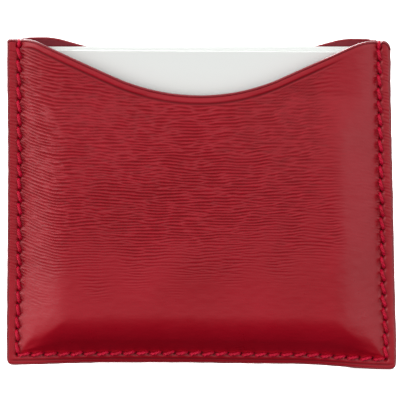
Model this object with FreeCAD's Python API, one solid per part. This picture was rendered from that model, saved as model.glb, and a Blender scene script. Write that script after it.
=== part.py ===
import FreeCAD, Part
import math
import os
from FreeCAD import Vector

# A single-pocket leather card holder standing on its bottom seam with its mouth up.
# Origin: bottom centre of the outer box. +X is to the right, +Y to the back, +Z up to the mouth.
# All sizes are millimetres.

# Outer size
WIDTH = 100.0
HEIGHT = 84.5
BOTTOM_CORNER_RADIUS = 1.5

# Layers of the sleeve, each panel being leather over a lining
LEATHER = 1.0
LINING = 0.5
STACK = LEATHER + LINING
EDGE_PAINT = 0.25

# The two linings touch in the seam and part this far inside the cut edges
SEAM_WIDTH = 3.4

# The pocket between the linings: depths are measured from the seam plane to each lining
FRONT_DEPTH = 5.7
BACK_DEPTH = 2.4

# Side and bottom walls of each half of the pocket: how far they run, and their two bend radii
FRONT_SIDE_WALL = {"run": 13.5, "root": 3.0, "crown": 13.0}
FRONT_BOTTOM_WALL = {"run": 10.5, "root": 2.2, "crown": 9.0}
BACK_SIDE_WALL = {"run": 2.6, "root": 1.6, "crown": 0.6}
BACK_BOTTOM_WALL = {"run": 2.6, "root": 1.6, "crown": 0.6}

# Scoops in the mouth edge: half the width at the shoulders, depth, shoulder radius and bowl radius
FRONT_SCOOP = {"half_width": 44.5, "depth": 13.6, "shoulder": 10.0, "bowl": 54.0}
BACK_SCOOP = {"half_width": 40.2, "depth": 6.5, "shoulder": 21.0, "bowl": 90.0}

# Saddle stitching along the sides and the bottom
STITCH_INSET = 2.75
STITCH_LENGTH = 2.7
STITCH_RADIUS = 0.36
STITCH_SLANT = 7.0
SIDE_STITCHES = 24
BOTTOM_STITCHES = 28
SIDE_PITCH = 3.33
WRAP_WIDTH = 0.75
WRAP_THICKNESS = 0.35
WRAP_LEG = 1.6

# Blank white insert cards, from the back of the pocket to the front
CARD_WIDTH = 85.6
CARD_HEIGHT = 74.5
CARD_THICKNESS = 0.76
CARD_CORNER_RADIUS = 3.18
CARD_EDGE_ROUNDING = 0.12
CARD_SPACING = 0.80
CARD_BACK_CLEARANCE = 0.2
CARD_REST_HEIGHT = 7.7
CARD_CENTRE_X = -0.65
CARD_LIFTS = [0.65, 0.0, -0.25, -0.3]
CARD_TILTS = [0.0, 0.0, 0.3, 0.4]

# Worked out from the sizes above
PANEL_TOP = HEIGHT - EDGE_PAINT
PANEL_BOTTOM = EDGE_PAINT
PANEL_HALF_WIDTH = WIDTH / 2 - EDGE_PAINT
PARTING_X = WIDTH / 2 - SEAM_WIDTH
SEAM_Y = (FRONT_DEPTH - BACK_DEPTH) / 2
FRONT = -1
BACK = 1
BEYOND = 10.0


def tangent_angle(run, rise, radii):
    """The slope, in radians, of the straight run between two opposite bends whose radii add up to radii."""
    reach = math.hypot(run, radii - rise)
    return math.atan2(run, radii - rise) - math.acos(radii / reach)


def arc(start, middle, end):
    return Part.Arc(start, middle, end).toShape()


def line(start, end):
    return Part.makeLine(start, end)


def wall_edges(wall, rise, offset, place):
    """One pocket wall from the seam to the flat of the panel: a root bend, a slope and a crown bend.

    place(u, v) turns a distance inwards from the parting line and a height off the seam plane into a point.
    """
    slope = tangent_angle(wall["run"], rise, wall["root"] + wall["crown"])
    root = wall["root"] - offset
    crown = wall["crown"] + offset

    def on_root(angle):
        return place(root * math.sin(angle), wall["root"] - root * math.cos(angle))

    def on_crown(angle):
        return place(wall["run"] - crown * math.sin(angle), rise - wall["crown"] + crown * math.cos(angle))

    return [
        arc(on_root(0), on_root(slope / 2), on_root(slope)),
        line(on_root(slope), on_crown(slope)),
        arc(on_crown(slope), on_crown(slope / 2), on_crown(0)),
    ]


def half_section_along_x(side, wall, depth, offset):
    """The closed section, seen from above, of everything between the seam plane and a panel surface."""

    def left(u, v):
        return Vector(-PARTING_X + u, SEAM_Y + side * v, 0)

    def right(u, v):
        return Vector(PARTING_X - u, SEAM_Y + side * v, 0)

    edges = wall_edges(wall, depth, offset, left)
    edges.append(line(left(wall["run"], depth + offset), right(wall["run"], depth + offset)))
    edges += wall_edges(wall, depth, offset, right)
    if offset == 0:
        edges.append(line(left(0, 0), right(0, 0)))
    else:
        edges.append(line(left(0, offset), left(-BEYOND, offset)))
        edges.append(line(left(-BEYOND, offset), left(-BEYOND, 0)))
        edges.append(line(left(-BEYOND, 0), right(-BEYOND, 0)))
        edges.append(line(right(-BEYOND, 0), right(-BEYOND, offset)))
        edges.append(line(right(-BEYOND, offset), right(0, offset)))
    return Part.Face(Part.Wire(Part.__sortEdges__(edges)))


def half_section_along_z(side, wall, depth, offset):
    """The closed section, seen from the side, of everything between the seam plane and a panel surface."""
    top = HEIGHT + BEYOND

    def at(u, v):
        return Vector(0, SEAM_Y + side * v, SEAM_WIDTH + u)

    edges = wall_edges(wall, depth, offset, at)
    corner = Vector(0, SEAM_Y + side * (depth + offset), top)
    foot = Vector(0, SEAM_Y, top)
    edges.append(line(at(wall["run"], depth + offset), corner))
    edges.append(line(corner, foot))
    if offset == 0:
        edges.append(line(foot, at(0, 0)))
    else:
        edges.append(line(foot, at(-BEYOND, 0)))
        edges.append(line(at(-BEYOND, 0), at(-BEYOND, offset)))
        edges.append(line(at(-BEYOND, offset), at(0, offset)))
    return Part.Face(Part.Wire(Part.__sortEdges__(edges)))


def half_body(side, offset):
    """The space from the seam plane out to a surface that lies offset outside the pocket's own wall."""
    if side == FRONT:
        side_wall, bottom_wall, depth = FRONT_SIDE_WALL, FRONT_BOTTOM_WALL, FRONT_DEPTH
    else:
        side_wall, bottom_wall, depth = BACK_SIDE_WALL, BACK_BOTTOM_WALL, BACK_DEPTH
    upright = half_section_along_x(side, side_wall, depth, offset)
    upright.translate(Vector(0, 0, -BEYOND))
    upright = upright.extrude(Vector(0, 0, HEIGHT + 2 * BEYOND))
    across = half_section_along_z(side, bottom_wall, depth, offset)
    across.translate(Vector(-WIDTH, 0, 0))
    across = across.extrude(Vector(2 * WIDTH, 0, 0))
    return upright.common(across)


def mouth_edges(scoop, top):
    """The mouth edge from the left cut edge to the right one: shoulder, flank, bowl, flank, shoulder."""
    half_width = scoop["half_width"]
    shoulder = scoop["shoulder"]
    bowl = scoop["bowl"]
    slope = tangent_angle(half_width, scoop["depth"], shoulder + bowl)

    def on_shoulder(sign, angle):
        x = half_width - shoulder * math.sin(angle)
        return Vector(sign * x, 0, top - shoulder + shoulder * math.cos(angle))

    def on_bowl(angle):
        return Vector(bowl * math.sin(angle), 0, top - scoop["depth"] + bowl - bowl * math.cos(angle))

    return [
        line(Vector(-PANEL_HALF_WIDTH, 0, top), on_shoulder(-1, 0)),
        arc(on_shoulder(-1, 0), on_shoulder(-1, slope / 2), on_shoulder(-1, slope)),
        line(on_shoulder(-1, slope), on_bowl(-slope)),
        arc(on_bowl(-slope), on_bowl(0), on_bowl(slope)),
        line(on_bowl(slope), on_shoulder(1, slope)),
        arc(on_shoulder(1, slope), on_shoulder(1, slope / 2), on_shoulder(1, 0)),
        line(on_shoulder(1, 0), Vector(PANEL_HALF_WIDTH, 0, top)),
    ]


def outline(scoop, top):
    """A panel's cut outline as a block that runs right through the sleeve from front to back."""
    radius = BOTTOM_CORNER_RADIUS - EDGE_PAINT
    half = PANEL_HALF_WIDTH
    low = PANEL_BOTTOM
    mid = radius * (1 - math.sqrt(0.5))
    edges = mouth_edges(scoop, top)
    edges.append(line(Vector(half, 0, top), Vector(half, 0, low + radius)))
    edges.append(arc(Vector(half, 0, low + radius), Vector(half - mid, 0, low + mid), Vector(half - radius, 0, low)))
    edges.append(line(Vector(half - radius, 0, low), Vector(radius - half, 0, low)))
    edges.append(arc(Vector(radius - half, 0, low), Vector(mid - half, 0, low + mid), Vector(-half, 0, low + radius)))
    edges.append(line(Vector(-half, 0, low + radius), Vector(-half, 0, top)))
    face = Part.Face(Part.Wire(Part.__sortEdges__(edges)))
    face.translate(Vector(0, -2 * BEYOND, 0))
    return face.extrude(Vector(0, 4 * BEYOND, 0))


def panel(side, scoop):
    """The outer leather of one side."""
    leather = half_body(side, STACK).cut(half_body(side, LINING))
    return leather.common(outline(scoop, PANEL_TOP))


def lining(side, scoop):
    """The lining glued to the inside of one panel."""
    inner = half_body(side, LINING).cut(half_body(side, 0))
    return inner.common(outline(scoop, PANEL_TOP))


def mouth_paint(side, scoop):
    """The bead of edge paint along one mouth edge, as thick as its leather and lining together."""
    layers = half_body(side, STACK).cut(half_body(side, 0))
    band = outline(scoop, HEIGHT).cut(outline(scoop, PANEL_TOP))
    return layers.common(band)


def paint_section(origin, outward):
    """A bead's rounded section on the cut edge of both stacks, EDGE_PAINT proud at its middle."""
    low = origin + Vector(0, -STACK, 0)
    high = origin + Vector(0, STACK, 0)
    crest = origin + outward * EDGE_PAINT
    return Part.Face(Part.Wire([arc(low, crest, high), line(high, low)]))


def side_paint(sign):
    """The edge paint down one side, from the mouth to the start of the bottom corner."""
    start = Vector(sign * PANEL_HALF_WIDTH, SEAM_Y, BOTTOM_CORNER_RADIUS)
    section = paint_section(start, Vector(sign, 0, 0))
    return section.extrude(Vector(0, 0, HEIGHT - BOTTOM_CORNER_RADIUS))


def bottom_paint():
    """The edge paint along the bottom and round both bottom corners."""
    reach = WIDTH / 2 - BOTTOM_CORNER_RADIUS
    start = Vector(-reach, SEAM_Y, PANEL_BOTTOM)
    bead = paint_section(start, Vector(0, 0, -1)).extrude(Vector(2 * reach, 0, 0))
    for sign in (-1, 1):
        section = paint_section(Vector(sign * reach, SEAM_Y, PANEL_BOTTOM), Vector(0, 0, -1))
        centre = Vector(sign * reach, SEAM_Y, BOTTOM_CORNER_RADIUS)
        bead = bead.fuse(section.revolve(centre, Vector(0, -1, 0), sign * 90))
    return bead.removeSplitter()


def stitch():
    """One stitch lying along X on a surface at Y = 0, standing out towards -Y: half of a round-ended bar."""
    straight = STITCH_LENGTH - 2 * STITCH_RADIUS
    bar = Part.makeCylinder(STITCH_RADIUS, straight, Vector(-straight / 2, 0, 0), Vector(1, 0, 0))
    for end in (-straight / 2, straight / 2):
        bar = bar.fuse(Part.makeSphere(STITCH_RADIUS, Vector(end, 0, 0)))
    block = Part.makeBox(2 * STITCH_LENGTH, STITCH_LENGTH, STITCH_LENGTH)
    block.translate(Vector(-STITCH_LENGTH, -STITCH_LENGTH, -STITCH_LENGTH / 2))
    return bar.common(block)


def stitch_row(side, centres, direction):
    """Stitches at the given (x, z) centres on one face, turned direction degrees from the X axis."""
    row = []
    for x, z in centres:
        one = stitch()
        one.rotate(Vector(0, 0, 0), Vector(0, -1, 0), direction + STITCH_SLANT)
        if side == BACK:
            one.rotate(Vector(0, 0, 0), Vector(0, 0, 1), 180)
        one.translate(Vector(x, SEAM_Y + side * STACK, z))
        row.append(one)
    return Part.makeCompound(row)


def side_centres(sign):
    x = sign * (WIDTH / 2 - STITCH_INSET)
    return [(x, STITCH_INSET + (i + 0.5) * SIDE_PITCH) for i in range(SIDE_STITCHES)]


def bottom_centres():
    span = WIDTH - 2 * STITCH_INSET
    pitch = span / BOTTOM_STITCHES
    return [(-span / 2 + (i + 0.5) * pitch, STITCH_INSET) for i in range(BOTTOM_STITCHES)]


def mouth_wrap(sign):
    """The last stitch of a side seam, looped over the mouth edge from the front face to the back face."""
    low = HEIGHT - WRAP_LEG
    depth = STACK + WRAP_THICKNESS
    outer = Part.makeBox(WRAP_WIDTH, 2 * depth, WRAP_LEG + WRAP_THICKNESS)
    outer.translate(Vector(-WRAP_WIDTH / 2, -depth, low))
    top_edges = [e for e in outer.Edges if e.BoundBox.ZMin > HEIGHT and e.BoundBox.XLength > WRAP_WIDTH / 2]
    outer = outer.makeFillet(WRAP_THICKNESS, top_edges)
    inner = Part.makeBox(2 * WRAP_WIDTH, 2 * STACK, WRAP_LEG)
    inner.translate(Vector(-WRAP_WIDTH, -STACK, low))
    loop = outer.cut(inner)
    loop.translate(Vector(sign * (WIDTH / 2 - STITCH_INSET), SEAM_Y, 0))
    return loop


def card(index):
    """One insert card with rounded corners and softened edges, at its place in the stack."""
    blank = Part.makeBox(CARD_WIDTH, CARD_THICKNESS, CARD_HEIGHT)
    upright = [e for e in blank.Edges if e.BoundBox.YLength > CARD_THICKNESS / 2]
    blank = blank.makeFillet(CARD_CORNER_RADIUS, upright)
    rims = [e for e in blank.Edges if e.BoundBox.YLength < CARD_THICKNESS / 2]
    blank = blank.makeFillet(CARD_EDGE_ROUNDING, rims)
    blank.translate(Vector(-CARD_WIDTH / 2, -CARD_THICKNESS, 0))
    blank.rotate(Vector(0, 0, CARD_HEIGHT / 2), Vector(0, 1, 0), CARD_TILTS[index])
    back_plane = SEAM_Y + BACK_DEPTH - CARD_BACK_CLEARANCE
    height = CARD_REST_HEIGHT + CARD_LIFTS[index]
    blank.translate(Vector(CARD_CENTRE_X, back_plane - index * CARD_SPACING, height))
    return blank


def sleeve_pieces():
    pieces = {
        "front_panel": panel(FRONT, FRONT_SCOOP),
        "front_lining": lining(FRONT, FRONT_SCOOP),
        "front_mouth_edge_paint": mouth_paint(FRONT, FRONT_SCOOP),
        "back_panel": panel(BACK, BACK_SCOOP),
        "back_lining": lining(BACK, BACK_SCOOP),
        "back_mouth_edge_paint": mouth_paint(BACK, BACK_SCOOP),
        "bottom_edge_paint": bottom_paint(),
    }
    for name, sign in (("left", -1), ("right", 1)):
        pieces[f"{name}_edge_paint"] = side_paint(sign)
        pieces[f"{name}_mouth_wrap"] = mouth_wrap(sign)
        pieces[f"{name}_front_stitches"] = stitch_row(FRONT, side_centres(sign), 90)
        pieces[f"{name}_back_stitches"] = stitch_row(BACK, side_centres(sign), 90)
    pieces["bottom_front_stitches"] = stitch_row(FRONT, bottom_centres(), 0)
    pieces["bottom_back_stitches"] = stitch_row(BACK, bottom_centres(), 0)
    return pieces


def main():
    os.makedirs("parts", exist_ok=True)
    pieces = sleeve_pieces()
    for index in range(len(CARD_LIFTS)):
        pieces[f"card_{index + 1}"] = card(index)
    for name, shape in pieces.items():
        shape.exportStep(f"parts/{name}.step")
        box = shape.BoundBox
        print(
            f"{name}: {len(shape.Solids)} solids, {shape.Volume:.1f} mm3, valid {shape.isValid()}, "
            f"X {box.XMin:.2f}..{box.XMax:.2f} Y {box.YMin:.2f}..{box.YMax:.2f} Z {box.ZMin:.2f}..{box.ZMax:.2f}"
        )


main()
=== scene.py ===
import math

import bmesh
import bpy
import numpy as np
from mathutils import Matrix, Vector


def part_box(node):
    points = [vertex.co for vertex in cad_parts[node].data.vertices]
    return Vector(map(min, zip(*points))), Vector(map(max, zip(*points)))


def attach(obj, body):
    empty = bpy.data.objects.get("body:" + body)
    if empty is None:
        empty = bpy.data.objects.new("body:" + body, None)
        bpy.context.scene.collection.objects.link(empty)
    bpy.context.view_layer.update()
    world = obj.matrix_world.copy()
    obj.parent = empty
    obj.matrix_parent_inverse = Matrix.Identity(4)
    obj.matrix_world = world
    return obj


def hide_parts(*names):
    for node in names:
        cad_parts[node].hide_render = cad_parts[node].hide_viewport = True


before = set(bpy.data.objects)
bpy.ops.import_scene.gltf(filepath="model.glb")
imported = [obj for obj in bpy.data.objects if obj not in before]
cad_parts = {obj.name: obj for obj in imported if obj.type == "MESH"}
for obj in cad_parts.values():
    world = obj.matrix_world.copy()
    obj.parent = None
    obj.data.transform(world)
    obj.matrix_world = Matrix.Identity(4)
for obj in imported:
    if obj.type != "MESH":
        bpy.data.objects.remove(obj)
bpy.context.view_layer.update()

# Shapes are worked out in millimetres, in the frame's axes, and scaled to metres when a mesh is made.
MM = 0.001
FRONT = -1
BACK = 1


def box_mm(node):
    low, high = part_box(node)
    return np.array(low) / MM, np.array(high) / MM


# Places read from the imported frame
PANEL_LOW, PANEL_HIGH = box_mm("front_panel")
BACK_LOW, BACK_HIGH = box_mm("back_panel")
LINING_LOW, LINING_HIGH = box_mm("back_lining")
HALF = PANEL_HIGH[0]
BOTTOM = PANEL_LOW[2]
TOP = PANEL_HIGH[2]
SEAM_Y = LINING_LOW[1]
OUTER_HALF = box_mm("bottom_edge_paint")[1][0]

# Layers, from the pocket outwards
LINING = BACK_LOW[1] - SEAM_Y
STACK = box_mm("left_edge_paint")[1][1] - SEAM_Y
FRONT_DEPTH = SEAM_Y - PANEL_LOW[1] - STACK
BACK_DEPTH = BACK_HIGH[1] - SEAM_Y - STACK
PAINT = OUTER_HALF - HALF

# Pocket walls and scoops, as the CAD panels have them
SEAM_WIDTH = 3.4
PARTING_X = OUTER_HALF - SEAM_WIDTH
WALLS = {
    FRONT: {"side": (13.5, 3.0, 13.0), "bottom": (10.5, 2.2, 9.0), "depth": FRONT_DEPTH},
    BACK: {"side": (2.6, 1.6, 0.6), "bottom": (2.6, 1.6, 0.6), "depth": BACK_DEPTH},
}
SCOOPS = {
    FRONT: {"half_width": 44.5, "depth": 13.6, "shoulder": 10.0, "bowl": 54.0},
    BACK: {"half_width": 40.2, "depth": 6.5, "shoulder": 21.0, "bowl": 90.0},
}
CORNER_RADIUS = 1.25
TOP_LEFT_RADIUS = 0.4
TOP_RIGHT_RADIUS = 2.0
BACK_RISE = 0.3
WALL_CORNER_BLEND = 13.2
FRONT_CROWN = 0.35
LIP_LEAN_LIMIT = 2.3

# How the sewn sleeve sits off its square pattern
RIGHT_LEAN = 1.8
LEFT_LEAN = 0.55
SCOOP_LEAN = 0.5
CARD_EDGE_X = 43.6
CARD_EDGE_EASE = 0.22
SEAM_DRAW = 0.42
BOTTOM_LIFT = 1.0
TOP_LEFT_LIFT = 0.45

# Stitching
STITCH_INSET = 2.75
SIDE_STITCHES = 24
BOTTOM_STITCHES = 28
SIDE_PITCH = 3.33
STITCH_DIP = 0.30
STITCH_LINE_X = OUTER_HALF - STITCH_INSET
WRAP_NOTCH = 0.45

# Leather surface
GRAIN_PITCH = 0.80
GRAIN_DEPTH = 0.27
CREASE_INSET = 1.9
CREASE_DEPTH = 0.25
EDGE_LINE_INSET = 1.0
EDGE_LINE_DEPTH = 0.14
LIP_LINE_INSET = 0.28
LIP_LINE_DEPTH = 0.05
LIP_SWELL = 0.04
SEAM_VALLEY = 0.16
HOLE_DEPTH = 0.75
HOLE_RADIUS = 0.36


def smoothstep(low, high, value):
    t = np.clip((value - low) / (high - low), 0, 1)
    return t * t * (3 - 2 * t)


def bump(distance, width):
    return np.exp(-0.5 * (distance / width) ** 2)


# ---------------------------------------------------------------- noise fields

class Field:
    """A repeating noise map over the panels, in millimetres, read with linear interpolation."""

    SIZE = 128.0
    CELLS = 1024

    def __init__(self, values):
        self.values = values

    def at(self, x, z):
        u = np.mod(x / self.SIZE, 1) * self.CELLS
        v = np.mod(z / self.SIZE, 1) * self.CELLS
        i, j = np.floor(u).astype(int), np.floor(v).astype(int)
        fu, fv = u - i, v - j
        i, j = i % self.CELLS, j % self.CELLS
        i2, j2 = (i + 1) % self.CELLS, (j + 1) % self.CELLS
        low = self.values[j, i] * (1 - fu) + self.values[j, i2] * fu
        high = self.values[j2, i] * (1 - fu) + self.values[j2, i2] * fu
        return low * (1 - fv) + high * fv


def filtered_noise(seed, weight):
    """White noise shaped by weight(fx, fz) in cycles per millimetre."""
    rng = np.random.default_rng(seed)
    return shaped(rng.standard_normal((Field.CELLS, Field.CELLS)), weight)


def shaped(values, weight):
    """Values with only the waves that weight(fx, fz) lets through, scaled to an even strength."""
    f = np.fft.fftfreq(Field.CELLS, Field.SIZE / Field.CELLS)
    fx, fz = np.meshgrid(f, f)
    signal = np.real(np.fft.ifft2(np.fft.fft2(values) * weight(fx, fz)))
    return signal / signal.std()


def ridge_field(seed):
    """Short wavy ridges lying along x: 0 at the foot of a groove, 1 on the flat between grooves."""
    centre = 1 / GRAIN_PITCH

    def weight(fx, fz):
        along = 1 / np.sqrt(1 + (fx / 0.16) ** 2) * np.exp(-0.5 * (fx / 0.6) ** 2)
        return np.exp(-0.5 * ((fz - centre) / (0.32 * centre)) ** 2) * along

    wave = shaped(np.tanh(1.6 * filtered_noise(seed, weight)), weight)
    return Field(smoothstep(-1.5, 0.4, wave))


def soft_field(seed, wavelength):
    """Gentle unevenness about zero."""
    centre = 1 / wavelength

    def weight(fx, fz):
        return np.exp(-0.5 * ((np.hypot(fx, fz) - centre) / (0.5 * centre)) ** 2)

    return Field(filtered_noise(seed, weight))


RIDGES = ridge_field(7)
RIPPLE = soft_field(11, 6.0)
DRIFT = soft_field(17, 14.0)
SWELL = soft_field(13, 28.0)


# ---------------------------------------------------------------- the sleeve's surfaces

def tangent_angle(run, rise, radii):
    reach = math.hypot(run, radii - rise)
    return math.atan2(run, radii - rise) - math.acos(radii / reach)


def wall_height(u, wall, rise, offset):
    """Height off the seam plane, u inwards from the parting line: a root bend, a slope and a crown bend."""
    run, root, crown = wall
    slope = tangent_angle(run, rise, root + crown)
    root_r, crown_r = root - offset, crown + offset
    root_end = root_r * math.sin(slope)
    crown_start = run - crown_r * math.sin(slope)
    start_height = root - root_r * math.cos(slope)
    on_root = root - np.sqrt(np.maximum(root_r ** 2 - np.clip(u, 0, root_end) ** 2, 0))
    on_slope = start_height + (u - root_end) * math.tan(slope)
    on_crown = rise - crown + np.sqrt(np.maximum(crown_r ** 2 - np.clip(run - u, 0, crown_r) ** 2, 0))
    return np.where(u < root_end, on_root, np.where(u < crown_start, on_slope, on_crown))


def scoop_height(side, x):
    """Height of the mouth edge at x."""
    scoop = SCOOPS[side]
    half, shoulder, bowl = scoop["half_width"], scoop["shoulder"], scoop["bowl"]
    slope = tangent_angle(half, scoop["depth"], shoulder + bowl)
    ax = np.abs(x)
    bowl_end = bowl * math.sin(slope)
    shoulder_start = half - shoulder * math.sin(slope)
    in_bowl = TOP - scoop["depth"] + bowl - np.sqrt(bowl ** 2 - np.clip(ax, 0, bowl_end) ** 2)
    on_flank = TOP - scoop["depth"] + bowl * (1 - math.cos(slope)) + (ax - bowl_end) * math.tan(slope)
    on_shoulder = TOP - shoulder + np.sqrt(shoulder ** 2 - np.clip(half - ax, 0, shoulder) ** 2)
    edge = np.where(ax < bowl_end, in_bowl, np.where(ax < shoulder_start, on_flank, on_shoulder))
    edge = edge - WRAP_NOTCH * bump(ax - STITCH_LINE_X, 0.42)
    corner = np.where(x > 0, TOP_RIGHT_RADIUS, TOP_LEFT_RADIUS)
    past = np.clip(ax - (HALF - corner), 0, corner)
    edge = edge - corner + np.sqrt(corner ** 2 - past ** 2)
    return edge + (BACK_RISE * bump(ax - 39, 6) if side == BACK else 0)


def bottom_height(x):
    """Height of the bottom cut edge at x, with its rounded corners."""
    past = np.clip(np.abs(x) - (HALF - CORNER_RADIUS), 0, CORNER_RADIUS)
    return BOTTOM + CORNER_RADIUS - np.sqrt(CORNER_RADIUS ** 2 - past ** 2)


def surface(side, x, z, offset):
    """Y of a panel's layer surface, offset outwards from the pocket's wall."""
    walls = WALLS[side]
    depth = walls["depth"]
    across = wall_height(PARTING_X - np.abs(x), walls["side"], depth, offset)
    up = wall_height(z - SEAM_WIDTH, walls["bottom"], depth, offset)
    share = np.clip((np.minimum(across, up) - offset) / depth, 0, 1)
    soften = WALL_CORNER_BLEND * share * (1 - share)
    overlap = np.clip(soften - np.abs(across - up), 0, None) / np.maximum(soften, 1e-6)
    height = np.minimum(across, up) - overlap ** 2 * soften / 4
    crown = FRONT_CROWN if side == FRONT else 0.0
    height = height + crown * share * np.cos(np.clip(x / 42, -1, 1) * math.pi / 2) * smoothstep(6, 40, z)
    height = height + 0.05 * SWELL.at(x + 40 * side, z) * smoothstep(0.3, 1.0, share)
    if side == FRONT:
        lip_lean = np.minimum(np.clip(z - 46, 0, None) ** 2 / 270, LIP_LEAN_LIMIT)
        height = height - lip_lean * share ** 1.5
    return SEAM_Y + side * height


def side_lean(x, z, right):
    """How far a point leans to the left: the sides lean in towards the top, less beside the cards' edges."""
    beside_cards = 1 - CARD_EDGE_EASE * bump(x - CARD_EDGE_X, 2.0)
    lean = RIGHT_LEAN * np.clip((z - 8) / 66, 0, 1) * right ** 2 * beside_cards
    lean = lean - LEFT_LEAN * smoothstep(5, 60, z) * smoothstep(-41, -48.5, x)
    return lean + SCOOP_LEAN * bump(x + 26, 12) * smoothstep(50, 75, z)


def flange_turn(x, z):
    """How far the right and bottom seam flanges bend back."""
    turned = 0.11 * np.clip(x - STITCH_LINE_X - 0.3, 0, None) ** 2 * smoothstep(2, 16, z)
    away_from_corners = smoothstep(HALF - 1, HALF - 22, np.abs(x))
    return turned + 0.085 * np.clip(4.4 - z, 0, None) ** 2 * away_from_corners


def settle(points):
    """Points of the square pattern where the sewn sleeve has them."""
    x, y, z = points[..., 0], points[..., 1], points[..., 2]
    right = smoothstep(-HALF, HALF, x)
    drawn = SEAM_DRAW * np.sign(x) * bump(np.abs(x) - STITCH_LINE_X + 0.5, 1.6) * smoothstep(8, 22, z)
    lift = BOTTOM_LIFT + 0.5 * bump(x + 14, 22) - BOTTOM_LIFT * smoothstep(24, 47, x)
    lift_at_top = TOP_LEFT_LIFT * smoothstep(60, TOP, z) * (1 - right)
    out = points.copy()
    out[..., 0] = x - side_lean(x, z, right) - drawn
    out[..., 1] = y + flange_turn(x, z)
    out[..., 2] = z + lift * (1 - smoothstep(0, 70, z)) + lift_at_top
    return out


def make_object(name, verts, faces, body, replaced):
    """A smooth mesh object in metres that rides on a body and stands for CAD nodes."""
    mesh = bpy.data.meshes.new(name)
    mesh.from_pydata((np.asarray(verts, float) * MM).tolist(), [], [list(map(int, f)) for f in faces])
    mesh.validate()
    mesh.shade_smooth()
    obj = bpy.data.objects.new(name, mesh)
    bpy.context.scene.collection.objects.link(obj)
    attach(obj, body)
    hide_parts(*replaced)
    return obj


def fix_normals(obj):
    """Turns every face of a closed mesh outwards."""
    bm = bmesh.new()
    bm.from_mesh(obj.data)
    bmesh.ops.recalc_face_normals(bm, faces=bm.faces)
    bm.to_mesh(obj.data)
    bm.free()


def column_positions(fine):
    """Columns across a panel, closest together over the side seams and the pocket's side walls."""
    edge = np.linspace(PARTING_X - 0.6, HALF, 22 if fine else 6)
    wall = np.linspace(33.0, PARTING_X - 0.6, 27 if fine else 12)[:-1]
    middle = np.linspace(0, 33.0, 53 if fine else 20)[:-1]
    half = np.concatenate([middle, wall, edge])
    return np.concatenate([-half[:0:-1], half])


def row_heights(side, xs, fine):
    """Heights of the rows at each column: parallel to the bottom edge, then to the mouth edge."""
    low, high = bottom_height(xs), scoop_height(side, xs)
    bands = [(low, low + 5.0, 26, 6), (low + 5.0, low + 16.0, 34, 10)]
    bands += [(low + 16.0, high - 2.6, 335, 44), (high - 2.6, high, 20, 5)]
    rows = []
    for start, end, dense, sparse in bands:
        count = dense if fine else sparse
        rows += [start + (end - start) * i / count for i in range(count)]
    return np.array(rows + [high])


def grid_points(side, xs, zs, offset):
    x = np.broadcast_to(xs, zs.shape)
    return np.stack([x, surface(side, x, zs, offset), zs], -1)


def grid_normals(points, side):
    along = np.gradient(points, axis=1)
    up = np.gradient(points, axis=0)
    normal = np.cross(along, up)
    normal /= np.linalg.norm(normal, axis=-1, keepdims=True)
    return normal if side == FRONT else -normal


def shell_faces(rows, columns, keep):
    """Faces of a closed shell: an outer grid of all rows, an inner grid of the kept rows, and the rims."""
    outer = np.arange(rows * columns).reshape(rows, columns)
    inner = rows * columns + np.arange(len(keep) * columns).reshape(len(keep), columns)
    faces = []
    for grid, flip in ((outer, False), (inner, True)):
        a, b = grid[:-1, :-1].ravel(), grid[:-1, 1:].ravel()
        c, d = grid[1:, 1:].ravel(), grid[1:, :-1].ravel()
        quads = np.stack([d, c, b, a] if flip else [a, b, c, d], 1)
        faces += quads.tolist()
    for row, k in ((0, 0), (rows - 1, len(keep) - 1)):
        for i in range(columns - 1):
            faces.append([outer[row, i], outer[row, i + 1], inner[k, i + 1], inner[k, i]])
    for column in (0, columns - 1):
        for k in range(len(keep) - 1):
            edge = [outer[r, column] for r in range(keep[k], keep[k + 1] + 1)]
            faces.append(edge + [inner[k + 1, column], inner[k, column]])
    return faces


# ---------------------------------------------------------------- stitches

def stitch_runs():
    """(name, start point, direction, pitch, count) of each seam run, on the flat of the seam, as x and z."""
    span = 2 * STITCH_LINE_X
    return [
        ("left", (-STITCH_LINE_X, STITCH_INSET), (0, 1), SIDE_PITCH, SIDE_STITCHES),
        ("right", (STITCH_LINE_X, STITCH_INSET), (0, 1), SIDE_PITCH, SIDE_STITCHES),
        ("bottom", (-STITCH_LINE_X, STITCH_INSET), (1, 0), span / BOTTOM_STITCHES, BOTTOM_STITCHES),
    ]


def needle_holes():
    holes = []
    for _, start, direction, pitch, count in stitch_runs():
        for i in range(count + 1):
            holes.append((start[0] + direction[0] * pitch * i, start[1] + direction[1] * pitch * i))
    return np.array(holes)


HOLES = needle_holes()


def seam_dent(x, z):
    """How far the sewing pulls a face in: a shallow valley along the stitches and a dimple at each hole."""
    dent = np.zeros_like(x)
    beside = np.abs(np.abs(x) - STITCH_LINE_X)
    along_side = smoothstep(STITCH_INSET - 1, STITCH_INSET, z)
    dent += SEAM_VALLEY * bump(beside, 0.55) * along_side
    along_bottom = smoothstep(STITCH_LINE_X + 1, STITCH_LINE_X, np.abs(x))
    dent = np.maximum(dent, SEAM_VALLEY * bump(z - STITCH_INSET, 0.55) * along_bottom)
    near = (beside < 1.6) | (z < STITCH_INSET + 1.6)
    px, pz = x[near], z[near]
    deepest = np.zeros_like(px)
    for hx, hz in HOLES:
        close = (np.abs(px - hx) < 1.5) & (np.abs(pz - hz) < 1.5)
        r = np.hypot(px[close] - hx, pz[close] - hz)
        deepest[close] = np.maximum(deepest[close], HOLE_DEPTH * bump(r, HOLE_RADIUS))
    dent[near] += deepest
    return dent


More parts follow.
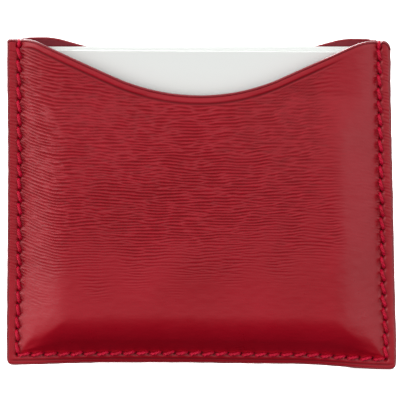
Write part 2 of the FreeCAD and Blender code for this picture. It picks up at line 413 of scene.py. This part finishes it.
def grain_cover(side, x, z, from_mouth, from_cut):
    """How strongly the grain shows: none at the edges, fading where the leather is stretched."""
    cover = smoothstep(CREASE_INSET + 0.1, CREASE_INSET + 0.8, from_mouth)
    cover = cover * (0.3 + 0.7 * smoothstep(STITCH_INSET, STITCH_INSET + 1.0, from_cut))
    fade = z + 2.0 * DRIFT.at(x, z) - 4 * smoothstep(5, 35, x) + 4 * smoothstep(-38, -45, x)
    if side == BACK:
        return cover * (0.4 + 0.6 * smoothstep(12, 30, fade))
    stretched = smoothstep(27, 38, x + 1.5 * DRIFT.at(x + 50, z)) * smoothstep(47.0, 45.5, x)
    return cover * smoothstep(17, 40, fade) * (1 - 0.9 * stretched)


def leather_relief(side, x, z):
    """Height of the leather over its smooth form, then its grooves, its lines and holes, and its grain."""
    mouth = scoop_height(side, x)
    slope = np.gradient(mouth, axis=1) / np.maximum(np.gradient(x, axis=1), 1e-6)
    from_mouth = (mouth - z) / np.sqrt(1 + slope ** 2)
    from_cut = np.minimum(HALF - np.abs(x), z - BOTTOM)
    crease_share = smoothstep(-47.5, -43, x) * smoothstep(39, 29, x)
    crease = bump(from_mouth - CREASE_INSET, 0.20) * crease_share
    edge_line = bump(z - BOTTOM - EDGE_LINE_INSET, 0.17) * smoothstep(HALF, HALF - 2, np.abs(x))
    beside_crease = bump(from_mouth - CREASE_INSET * 0.62, 0.38) * smoothstep(48, 44, np.abs(x))
    lip_line = bump(from_mouth - LIP_LINE_INSET, 0.15)
    cover = grain_cover(side, x, z, from_mouth, from_cut)
    skew = 0.15 * np.clip(np.abs(x) - 37, 0, None) ** 1.25 * np.sign(-x)
    ridge = RIDGES.at(x + 61 * (side + 1), z - skew + 0.10 * DRIFT.at(x, z))
    # The groove mask shapes the grain's relief and also darkens the leather's colour as painted shade in the
    # grooves.
    groove = (1 - ridge) * cover
    relief = -GRAIN_DEPTH * groove - CREASE_DEPTH * crease - EDGE_LINE_DEPTH * edge_line
    relief = relief - LIP_LINE_DEPTH * lip_line + LIP_SWELL * beside_crease
    relief = relief + 0.010 * RIPPLE.at(x * 1.7, z * 1.7)
    dent = seam_dent(x, z)
    relief = relief - dent
    border = np.minimum(from_mouth, from_cut)
    relief = relief - 0.16 * (1 - smoothstep(0.0, 0.45, border))
    # The crease, edge and lip lines and the needle holes make a mask that darkens the leather's colour as
    # painted shade in these recesses.
    holes = smoothstep(0.25, 0.7, dent)
    lines = np.maximum(np.maximum(0.85 * crease, 0.7 * edge_line), 0.35 * lip_line)
    return relief, groove, np.maximum(lines, holes), cover


def leather_panel(name, side, node):
    xs = column_positions(True)
    zs = row_heights(side, xs, True)
    base = grid_points(side, xs, zs, STACK)
    x = np.ascontiguousarray(base[..., 0])
    relief, groove, crease, cover = leather_relief(side, x, zs)
    outer = base + grid_normals(base, side) * relief[..., None]
    rows, columns = zs.shape
    keep = sorted(set(range(0, rows, 7)) | {rows - 1})
    inner = grid_points(side, xs, zs[keep], LINING + 0.02)
    points = np.concatenate([settle(outer).reshape(-1, 3), settle(inner).reshape(-1, 3)])
    obj = make_object(name, points, shell_faces(rows, columns, keep), "sleeve", [node])
    fix_normals(obj)
    # The groove and crease values are the masks that the leather material darkens as painted shade.
    for label, values in (("groove", groove), ("crease", crease), ("cover", cover)):
        attribute = obj.data.attributes.new(label, "FLOAT", "POINT")
        padded = np.concatenate([values.ravel(), np.zeros(len(keep) * columns)])
        attribute.data.foreach_set("value", padded.astype(np.float32))
    return obj


def lining_panel(name, side, node):
    xs = column_positions(False)
    zs = row_heights(side, xs, False)
    outer = grid_points(side, xs, zs, LINING)
    inner = grid_points(side, xs, zs, 0.01)
    rows, columns = zs.shape
    points = np.concatenate([settle(outer).reshape(-1, 3), settle(inner).reshape(-1, 3)])
    obj = make_object(name, points, shell_faces(rows, columns, list(range(rows))), "sleeve", [node])
    fix_normals(obj)
    return obj


# ---------------------------------------------------------------- swept beads and threads

def sweep(sections):
    """Vertices and faces of a capped tube through a list of equal, closed sections."""
    sections = np.asarray(sections)
    count, sides = sections.shape[:2]
    index = np.arange(count * sides).reshape(count, sides)
    nxt = np.roll(index, -1, axis=1)
    quads = np.stack([index[:-1], nxt[:-1], nxt[1:], index[1:]], -1).reshape(-1, 4).tolist()
    quads += [index[0].tolist()[::-1], index[-1].tolist()]
    return sections.reshape(-1, 3), quads


def merge(parts):
    """One list of vertices and one of faces from several."""
    verts, faces, start = [], [], 0
    for v, f in parts:
        verts.append(v)
        faces += [[i + start for i in face] for face in f]
        start += len(v)
    return np.concatenate(verts), faces


def outline_path(step):
    """Points and outward directions along the left side, the bottom and the right side of the cut edge."""
    points, outward = [], []
    corner_low = BOTTOM + CORNER_RADIUS
    for z in np.arange(TOP - TOP_LEFT_RADIUS, corner_low, -step):
        points.append((-HALF, z))
        outward.append((-1, 0))
    for a in np.linspace(0, math.pi / 2, 7):
        points.append((-HALF + CORNER_RADIUS * (1 - math.cos(a)), corner_low - CORNER_RADIUS * math.sin(a)))
        outward.append((-math.cos(a), -math.sin(a)))
    for x in np.arange(-HALF + CORNER_RADIUS + step, HALF - CORNER_RADIUS, step):
        points.append((x, BOTTOM))
        outward.append((0, -1))
    for a in np.linspace(math.pi / 2, 0, 7):
        points.append((HALF - CORNER_RADIUS * (1 - math.cos(a)), corner_low - CORNER_RADIUS * math.sin(a)))
        outward.append((math.cos(a), -math.sin(a)))
    for z in np.arange(corner_low + step, TOP - TOP_RIGHT_RADIUS + step, step):
        points.append((HALF, min(z, TOP - TOP_RIGHT_RADIUS)))
        outward.append((1, 0))
    return np.array(points), np.array(outward)


def paint_profile(samples):
    """(across, proud) points of a rounded bead over one thickness, from -1 to 1."""
    across = np.linspace(-1, 1, samples)
    proud = np.sqrt(np.clip(1 - (0.98 * across) ** 4, 0, 1))
    return across, proud


def seam_edge_paint():
    path, outward = outline_path(0.7)
    across, proud = paint_profile(25)
    layer_lines = bump(across, 0.045) + 0.6 * bump(np.abs(across) - 0.36, 0.04)
    sections = []
    for (x, z), (nx, nz) in zip(path, outward):
        wobble = 0.03 * RIPPLE.at(np.array(x * 1.3), np.array(z * 1.3))
        height = PAINT * (0.9 * proud + 0.1) - 0.07 * layer_lines + wobble * proud
        half = STACK * (1 - 0.03)
        face = np.stack([x + nx * height, SEAM_Y + across * half, z + nz * height], -1)
        root_x, root_z = x - nx * 0.3, z - nz * 0.3
        back = np.array([[root_x, SEAM_Y + half, root_z], [root_x, SEAM_Y - half, root_z]])
        sections.append(settle(np.concatenate([face, back])))
    verts, faces = sweep(sections)
    obj = make_object("edge_paint_seams", verts, faces, "sleeve",
                      ["left_edge_paint", "bottom_edge_paint", "right_edge_paint"])
    fix_normals(obj)
    return obj


def mouth_edge_paint(name, side, node):
    xs = column_positions(True)
    zs = scoop_height(side, xs)
    slope = np.gradient(zs, xs)
    nx, nz = -slope / np.sqrt(1 + slope ** 2), 1 / np.sqrt(1 + slope ** 2)
    across, proud = paint_profile(17)
    sections = []
    for x, z, ax, az in zip(xs, zs, nx, nz):
        offsets = STACK * (across + 1) / 2
        height = PAINT * (0.9 * proud + 0.1) - 0.05 * bump(across + 0.33, 0.06)
        ys = surface(side, np.full_like(offsets, x), np.full_like(offsets, z), offsets)
        face = np.stack([x + ax * height, ys, z + az * height], -1)
        low = np.stack([np.full(2, x - ax * 0.3), ys[[-1, 0]], np.full(2, z - az * 0.3)], -1)
        sections.append(settle(np.concatenate([face, low])))
    verts, faces = sweep(sections)
    obj = make_object(name, verts, faces, "sleeve", [node])
    fix_normals(obj)
    return obj


PLIES = 3
PLY_RADIUS = 0.255
PLY_ORBIT = 0.195
PLY_SIDES = 7
TWIST_LENGTH = 2.8


def twisted_thread(path, outward):
    """A laid thread of three plies along a path; outward is a direction never parallel to it."""
    path = np.asarray(path, float)
    along = np.gradient(path, axis=0)
    along /= np.linalg.norm(along, axis=1, keepdims=True)
    across = np.cross(along, outward)
    across /= np.linalg.norm(across, axis=1, keepdims=True)
    over = np.cross(across, along)
    gone = np.concatenate([[0], np.cumsum(np.linalg.norm(np.diff(path, axis=0), axis=1))])
    parts = []
    ring = np.linspace(0, 2 * math.pi, PLY_SIDES, endpoint=False)
    for ply in range(PLIES):
        turn = 2 * math.pi * (gone / TWIST_LENGTH + ply / PLIES)
        centre = path + PLY_ORBIT * (np.cos(turn)[:, None] * across + np.sin(turn)[:, None] * over)
        sections = (
            centre[:, None]
            + PLY_RADIUS * np.cos(ring)[None, :, None] * across[:, None]
            + PLY_RADIUS * np.sin(ring)[None, :, None] * over[:, None]
        )
        parts.append(sweep(sections))
    return merge(parts)


def one_stitch(side, centre, direction, pitch, rng):
    """A stitch that comes out of one hole, lies a little askew and goes down into the next."""
    t = np.linspace(-1, 1, 17)
    length = t * (pitch / 2 - STITCH_DIP)
    height = 0.22 * (1 - t ** 2) + 0.12 - 0.95 * smoothstep(0.55, 1.0, np.abs(t))
    lean = (0.32 + 0.05 * rng.standard_normal()) * np.clip(t * 1.25, -1, 1)
    jitter = 0.04 * rng.standard_normal(2)
    dx, dz = direction
    x = centre[0] + jitter[0] * dz + length * dx - lean * dz
    z = centre[1] + jitter[1] * dx + length * dz + lean * dx
    y = SEAM_Y + side * (STACK + height)
    path = settle(np.stack([x, y, z], -1))
    return twisted_thread(path, np.array([0.0, side, 0.0]))


def stitch_row(name, side, start, direction, pitch, count, node, seed):
    rng = np.random.default_rng(seed)
    parts = []
    for i in range(count):
        middle = (i + 0.5) * pitch
        centre = (start[0] + direction[0] * middle, start[1] + direction[1] * middle)
        parts.append(one_stitch(side, centre, direction, pitch, rng))
    verts, faces = merge(parts)
    obj = make_object(name, verts, faces, "sleeve", [node])
    fix_normals(obj)
    return obj


def mouth_wrap(name, sign, node):
    """The last stitch of a side seam, taken over the mouth edge from face to face."""
    foot = STITCH_INSET + SIDE_STITCHES * SIDE_PITCH
    crest = TOP + PAINT - 0.42
    out = STACK + 0.22
    round_over = 0.5
    path = [(-(STACK - 0.4), foot + 0.05), (-(STACK + 0.1), foot + 0.12), (-out, foot + 0.4)]
    path += [(-out, z) for z in np.linspace(foot + 0.7, crest - round_over, 5)]
    for a in np.linspace(0, math.pi / 2, 6)[1:]:
        path.append((-out + round_over * (1 - math.cos(a)), crest - round_over + round_over * math.sin(a)))
    path += [(y, crest) for y in np.linspace(-out + round_over, 0, 4)[1:]]
    path += [(-y, z) for y, z in reversed(path[:-1])]
    path = np.array(path)
    lean = sign * 0.12 * np.tanh(path[:, 0])
    points = np.stack([sign * STITCH_LINE_X + lean, SEAM_Y + path[:, 0], path[:, 1]], -1)
    verts, faces = twisted_thread(settle(points), np.array([1.0, 0.0, 0.0]))
    obj = make_object(name, verts, faces, "sleeve", [node])
    fix_normals(obj)
    return obj


# ---------------------------------------------------------------- cards

CARD_SIZE = (85.6, 74.5)
CARD_RADIUS = 3.18
CARD_ROUNDING = 0.14


def rounded_rectangle(width, height, radius, steps=12):
    points = []
    for cx, cz, start in ((1, 1, 0), (-1, 1, 90), (-1, -1, 180), (1, -1, 270)):
        for a in np.radians(np.linspace(start, start + 90, steps)):
            x = cx * (width / 2 - radius) + radius * math.cos(a)
            z = cz * (height / 2 - radius) + radius * math.sin(a)
            points.append((x, z))
    return np.array(points)


def insert_card(index):
    """A blank card with rounded corners and softened edges, where the CAD card stands."""
    node = f"card_{index}"
    low, high = box_mm(node)
    centre = (low + high) / 2
    thick = high[1] - low[1]
    width, height = CARD_SIZE
    spare = (high[2] - low[2]) - height
    tilt = math.asin(min(max(spare, 0) / width, 1))
    r = CARD_ROUNDING
    rounded_edge = ((r, 0), (0.3 * r, 0.3 * r), (0, r))
    other_edge = ((0, thick - r), (0.3 * r, thick - 0.3 * r), (r, thick))
    sections = []
    for inset, y in rounded_edge + other_edge:
        ring = rounded_rectangle(width - 2 * inset, height - 2 * inset, CARD_RADIUS - inset)
        x = ring[:, 0] * math.cos(tilt) + ring[:, 1] * math.sin(tilt)
        z = ring[:, 1] * math.cos(tilt) - ring[:, 0] * math.sin(tilt)
        sections.append(np.stack([centre[0] + x, np.full(len(x), low[1] + y), centre[2] + z], -1))
    verts, faces = sweep(sections)
    obj = make_object(f"insert_{node}", verts, faces, node, [node])
    fix_normals(obj)
    weighted = obj.modifiers.new("weighted", "WEIGHTED_NORMAL")
    weighted.keep_sharp = True
    return obj


# ---------------------------------------------------------------- materials

class Nodes:
    """A short way to build a Principled material."""

    def __init__(self, name):
        self.material = bpy.data.materials.new(name)
        self.material.use_nodes = True
        self.tree = self.material.node_tree
        self.shader = self.tree.nodes["Principled BSDF"]

    def add(self, kind, **values):
        node = self.tree.nodes.new(kind)
        for key, value in values.items():
            if hasattr(node, key):
                setattr(node, key, value)
            else:
                node.inputs[key].default_value = value
        return node

    def link(self, source, target):
        self.tree.links.new(source, target)

    def position(self):
        return self.add("ShaderNodeTexCoord").outputs["Object"]

    def noise(self, scale, detail=3.0, roughness=0.5, stretch=(1, 1, 1)):
        mapping = self.add("ShaderNodeMapping")
        mapping.inputs["Scale"].default_value = stretch
        self.link(self.position(), mapping.inputs["Vector"])
        node = self.add("ShaderNodeTexNoise", Scale=scale, Detail=detail, Roughness=roughness)
        self.link(mapping.outputs["Vector"], node.inputs["Vector"])
        return node.outputs["Fac"]

    def ramp(self, factor, stops):
        node = self.add("ShaderNodeValToRGB")
        elements = node.color_ramp.elements
        while len(elements) < len(stops):
            elements.new(0.5)
        for element, (position, colour) in zip(elements, stops):
            element.position = position
            element.color = (*colour, 1) if len(colour) == 3 else colour
        self.link(factor, node.inputs["Fac"])
        return node.outputs["Color"]

    def mix(self, factor, a, b):
        node = self.add("ShaderNodeMix", data_type="RGBA")
        for value, socket in ((factor, node.inputs[0]), (a, node.inputs[6]), (b, node.inputs[7])):
            if isinstance(value, bpy.types.NodeSocket):
                self.link(value, socket)
            else:
                socket.default_value = value if not isinstance(value, tuple) else (*value, 1)
        return node.outputs[2]

    def remap(self, value, low, high, to_low, to_high):
        node = self.add("ShaderNodeMapRange")
        for key, number in (("From Min", low), ("From Max", high), ("To Min", to_low), ("To Max", to_high)):
            node.inputs[key].default_value = number
        self.link(value, node.inputs["Value"])
        return node.outputs["Result"]

    def plus(self, a, b):
        return self.math("ADD", a, b)

    def times(self, a, b):
        return self.math("MULTIPLY", a, b)

    def math(self, operation, a, b):
        node = self.add("ShaderNodeMath", operation=operation)
        self.link(a, node.inputs[0])
        self.link(b, node.inputs[1])
        return node.outputs["Value"]

    def attribute(self, name):
        return self.add("ShaderNodeAttribute", attribute_name=name).outputs["Fac"]

    def bump(self, height, strength, distance, below=None):
        node = self.add("ShaderNodeBump", Strength=strength, Distance=distance)
        self.link(height, node.inputs["Height"])
        if below is not None:
            self.link(below, node.inputs["Normal"])
        return node.outputs["Normal"]

    def set(self, **values):
        for key, value in values.items():
            socket = self.shader.inputs[key.replace("_", " ")]
            if isinstance(value, bpy.types.NodeSocket):
                self.link(value, socket)
            else:
                socket.default_value = value


def leather_material():
    m = Nodes("red_wave_leather")
    tone = m.noise(55, 3)
    colour = m.ramp(tone, [(0.3, (0.325, 0.0024, 0.0105)), (0.7, (0.375, 0.0034, 0.0145))])
    threads_of_grain = m.remap(m.noise(1250, 2, 0.6, (0.22, 1, 1)), 0.5, 0.72, 0, 0.35)
    colour = m.mix(m.times(threads_of_grain, m.attribute("cover")), colour, (0.150, 0.0006, 0.002))
    # Painted shade: the colour darkens in the grain's grooves, where shade falls.
    colour = m.mix(m.remap(m.attribute("groove"), 0, 1, 0, 0.6), colour, (0.150, 0.0004, 0.002))
    # Painted shade: the colour darkens strongly in the crease, edge and lip lines and in the needle holes.
    colour = m.mix(m.remap(m.attribute("crease"), 0, 1, 0, 0.9), colour, (0.090, 0.0006, 0.002))
    m.set(Base_Color=colour)
    crest = m.remap(m.noise(240, 2), 0.3, 0.7, 0.27, 0.36)
    in_grooves = m.plus(crest, m.remap(m.attribute("groove"), 0, 1, 0, 0.6))
    m.set(Roughness=m.plus(in_grooves, m.remap(m.attribute("crease"), 0, 1, 0, 0.6)))
    m.shader.inputs["Specular IOR Level"].default_value = 0.34
    pores = m.bump(m.noise(2600, 2, 0.6), 0.10, 0.00008)
    m.set(Normal=m.bump(m.noise(1250, 2, 0.6, (0.22, 1, 1)), 0.22, 0.0002, pores))
    return m.material


def lining_material():
    m = Nodes("dark_red_lining")
    colour = m.ramp(m.noise(160, 4), [(0.3, (0.150, 0.008, 0.016)), (0.7, (0.210, 0.014, 0.024))])
    m.set(Base_Color=colour, Roughness=0.72)
    m.shader.inputs["Specular IOR Level"].default_value = 0.3
    m.shader.inputs["Sheen Weight"].default_value = 0.15
    m.set(Normal=m.bump(m.noise(1500, 4, 0.6), 0.35, 0.0002))
    return m.material


def edge_paint_material():
    m = Nodes("dark_edge_paint")
    colour = m.ramp(m.noise(90, 3), [(0.3, (0.230, 0.007, 0.014)), (0.7, (0.280, 0.011, 0.020))])
    m.set(Base_Color=colour, Roughness=m.remap(m.noise(200, 2), 0.3, 0.7, 0.22, 0.34))
    m.set(Normal=m.bump(m.noise(700, 3), 0.12, 0.0002))
    return m.material


def thread_material():
    m = Nodes("red_thread")
    colour = m.ramp(m.noise(700, 2), [(0.3, (0.42, 0.0006, 0.018)), (0.7, (0.60, 0.0015, 0.038))])
    m.set(Base_Color=colour, Roughness=0.5)
    m.shader.inputs["Specular IOR Level"].default_value = 0.25
    m.set(Normal=m.bump(m.noise(3000, 2, 0.6), 0.3, 0.00012))
    return m.material


def card_material():
    m = Nodes("white_card")
    colour = m.ramp(m.noise(30, 2), [(0.0, (0.82, 0.845, 0.82)), (1.0, (0.84, 0.86, 0.84))])
    m.set(Base_Color=colour, Roughness=m.remap(m.noise(120, 2), 0.0, 1.0, 0.26, 0.34))
    m.set(Normal=m.bump(m.noise(500, 2), 0.03, 0.0001))
    return m.material


def floor_material():
    m = Nodes("pale_floor")
    colour = m.ramp(m.noise(3, 2), [(0.3, (0.86, 0.86, 0.86)), (0.7, (0.88, 0.88, 0.88))])
    m.set(Base_Color=colour, Roughness=0.9)
    m.shader.inputs["Specular IOR Level"].default_value = 0.1
    m.shader.inputs["Emission Color"].default_value = (1, 1, 1, 1)
    m.shader.inputs["Emission Strength"].default_value = 0.8
    return m.material


# ---------------------------------------------------------------- the object

def build_sleeve():
    leather, lining = leather_material(), lining_material()
    paint, thread = edge_paint_material(), thread_material()
    pieces = [
        (leather_panel("leather_front", FRONT, "front_panel"), leather),
        (leather_panel("leather_back", BACK, "back_panel"), leather),
        (lining_panel("lining_front", FRONT, "front_lining"), lining),
        (lining_panel("lining_back", BACK, "back_lining"), lining),
        (seam_edge_paint(), paint),
        (mouth_edge_paint("edge_paint_front_mouth", FRONT, "front_mouth_edge_paint"), paint),
        (mouth_edge_paint("edge_paint_back_mouth", BACK, "back_mouth_edge_paint"), paint),
        (mouth_wrap("thread_wrap_left", -1, "left_mouth_wrap"), thread),
        (mouth_wrap("thread_wrap_right", 1, "right_mouth_wrap"), thread),
    ]
    seed = 30
    for run, start, direction, pitch, count in stitch_runs():
        for side, face in ((FRONT, "front"), (BACK, "back")):
            seed += 1
            name = f"thread_{run}_{face}"
            node = f"{run}_{face}_stitches"
            pieces.append((stitch_row(name, side, start, direction, pitch, count, node, seed), thread))
    for obj, material in pieces:
        obj.data.materials.append(material)


def build_cards():
    material = card_material()
    for index in range(1, 5):
        insert_card(index).data.materials.append(material)


def build_floor():
    size = 6.0
    mesh = bpy.data.meshes.new("floor")
    corners = [(-size, -size, 0), (size, -size, 0), (size, size, 0), (-size, size, 0)]
    mesh.from_pydata(corners, [], [(0, 1, 2, 3)])
    floor = bpy.data.objects.new("floor", mesh)
    bpy.context.scene.collection.objects.link(floor)
    mesh.materials.append(floor_material())
    floor.visible_diffuse = False
    floor.visible_glossy = False


def area_light(name, place, aim, size, power):
    data = bpy.data.lights.new(name, "AREA")
    data.shape = "RECTANGLE"
    data.size, data.size_y = size
    data.energy = power
    light = bpy.data.objects.new(name, data)
    light.location = place
    light.rotation_euler = (Vector(aim) - Vector(place)).to_track_quat("-Z", "Y").to_euler()
    bpy.context.scene.collection.objects.link(light)


# Light levels of the sky over a direction's component, from -1 to 1
SKY_ACROSS = [(-1, 0.95), (-0.72, 0.80), (-0.45, 0.50), (0, 0.33), (0.6, 0.46), (1, 0.50)]
SKY_LOW = [(-1, 0.0), (-0.75, 0.03), (-0.5, 0.12), (-0.25, 0.50)]
SKY_HIGH = [(0, 0.85), (0.3, 1.0), (0.6, 0.85), (1, 0.4)]
SKY_STRENGTH = 2.8


def level_ramp(tree, value, stops):
    """A smooth curve of light level over a direction's component, which runs from -1 to 1."""
    spread = tree.nodes.new("ShaderNodeMapRange")
    spread.inputs["From Min"].default_value = -1
    ramp = tree.nodes.new("ShaderNodeValToRGB")
    ramp.color_ramp.interpolation = "B_SPLINE"
    while len(ramp.color_ramp.elements) < len(stops):
        ramp.color_ramp.elements.new(0.5)
    for element, (place, level) in zip(ramp.color_ramp.elements, stops):
        element.position = (place + 1) / 2
        element.color = (level, level, level, 1)
    tree.links.new(value, spread.inputs["Value"])
    tree.links.new(spread.outputs["Result"], ramp.inputs["Fac"])
    return ramp.outputs["Color"]


def build_world():
    """Large soft panels as a smooth sky: bright on the left, less on the right, dim in front and below."""
    world = bpy.data.worlds.new("studio")
    world.use_nodes = True
    tree = world.node_tree
    place = tree.nodes.new("ShaderNodeTexCoord")
    split = tree.nodes.new("ShaderNodeSeparateXYZ")
    tree.links.new(place.outputs["Generated"], split.inputs["Vector"])
    across = level_ramp(tree, split.outputs["X"], SKY_ACROSS)
    upright = level_ramp(tree, split.outputs["Z"], SKY_LOW + SKY_HIGH)
    both = tree.nodes.new("ShaderNodeMix")
    both.data_type = "RGBA"
    both.blend_type = "MULTIPLY"
    both.inputs[0].default_value = 1
    tree.links.new(across, both.inputs[6])
    tree.links.new(upright, both.inputs[7])
    background = tree.nodes["Background"]
    tree.links.new(both.outputs[2], background.inputs["Color"])
    background.inputs["Strength"].default_value = SKY_STRENGTH
    bpy.context.scene.world = world


def build_lights():
    build_world()
    aim = (0, 0, 0.045)
    area_light("key", (-0.75, -0.50, 0.30), aim, (0.7, 0.8), 2.2)
    area_light("fill", (0.75, -0.50, 0.15), aim, (0.7, 0.8), 1.0)
    area_light("rim", (-0.35, 0.80, 0.55), aim, (0.9, 0.4), 9.0)


def build_camera():
    elevation = math.radians(7.0)
    distance = 0.95
    seen_width = 0.10206
    target = Vector((-0.0004, 0.0, 0.0439))
    data = bpy.data.cameras.new("camera")
    data.sensor_width = 36.0
    data.lens = data.sensor_width * distance / seen_width
    data.clip_start = 0.01
    data.clip_end = 50
    camera = bpy.data.objects.new("camera", data)
    camera.location = target + distance * Vector((0, -math.cos(elevation), math.sin(elevation)))
    camera.rotation_euler = (target - camera.location).to_track_quat("-Z", "Y").to_euler()
    bpy.context.scene.collection.objects.link(camera)
    bpy.context.scene.camera = camera


build_camera()
build_sleeve()
build_cards()
build_floor()
build_lights()
bpy.context.scene.view_settings.view_transform = "Standard"
